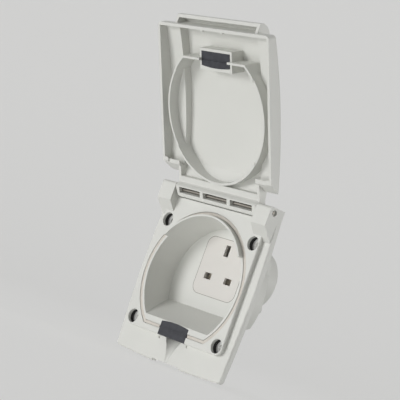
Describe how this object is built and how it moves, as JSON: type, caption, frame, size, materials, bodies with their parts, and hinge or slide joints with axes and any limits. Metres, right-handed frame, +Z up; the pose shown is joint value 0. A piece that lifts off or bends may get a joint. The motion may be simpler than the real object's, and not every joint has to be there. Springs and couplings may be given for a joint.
{
  "type": "socket outlet",
  "caption": "flush panel mains socket outlet for flat-pin plugs, with a deep splash well, a hinged weather lid resting open, and a rear drum housing",
  "frame": {"origin": "centre of the four panel screw holes, on the back face of the flange that meets the panel", "axes": "+Y into the panel, +Z up, +X to the right seen from the front"},
  "size_m": [0.125, 0.1302, 0.2512],
  "materials": {
    "white_plastic": "satin moulded thermoplastic",
    "module_plastic": "satin moulded thermoset",
    "dark_rubber": "matt",
    "seal_rubber": "matt",
    "shutter_plastic": "matt",
    "brass": "pressed strip",
    "zinc_steel": "zinc plated"
  },
  "bodies": {
    "base": {"front_frame": "white_plastic", "well_seal": "seal_rubber", "base_grommet": "dark_rubber", "hinge_pin": "zinc_steel", "socket_front": "module_plastic", "socket_back": "module_plastic", "shutter_spring": "zinc_steel", "rear_cover_gasket": "dark_rubber", "rear_cover": "white_plastic", "cable_grommet": "dark_rubber", "cord_clamp": "module_plastic", "earth_contact": "brass", "live_contact": "brass", "neutral_contact": "brass", "earth_terminal_screw": "zinc_steel", "live_terminal_screw": "zinc_steel", "neutral_terminal_screw": "zinc_steel", "module_screws": "zinc_steel", "socket_body_screws": "zinc_steel", "rear_cover_screws": "zinc_steel", "cord_clamp_screws": "zinc_steel"},
    "lid": {"lid": "white_plastic", "lid_grommet": "dark_rubber"},
    "shutter": {"shutter": "shutter_plastic"}
  },
  "joints": [
    {"name": "lid_hinge", "type": "hinge", "parent": "base", "child": "lid", "pos_m": [0, -0.0099, 0.0642], "axis": [1, 0, 0], "range_deg": [0, 150.9]},
    {"name": "shutter_slide", "type": "slide", "parent": "base", "child": "shutter", "axis": [0, 0, -1], "range_m": [0, 0.006], "stiffness_N_per_m": 150, "springref_m": -0.002, "deforming": ["shutter_spring"]}
  ]
}
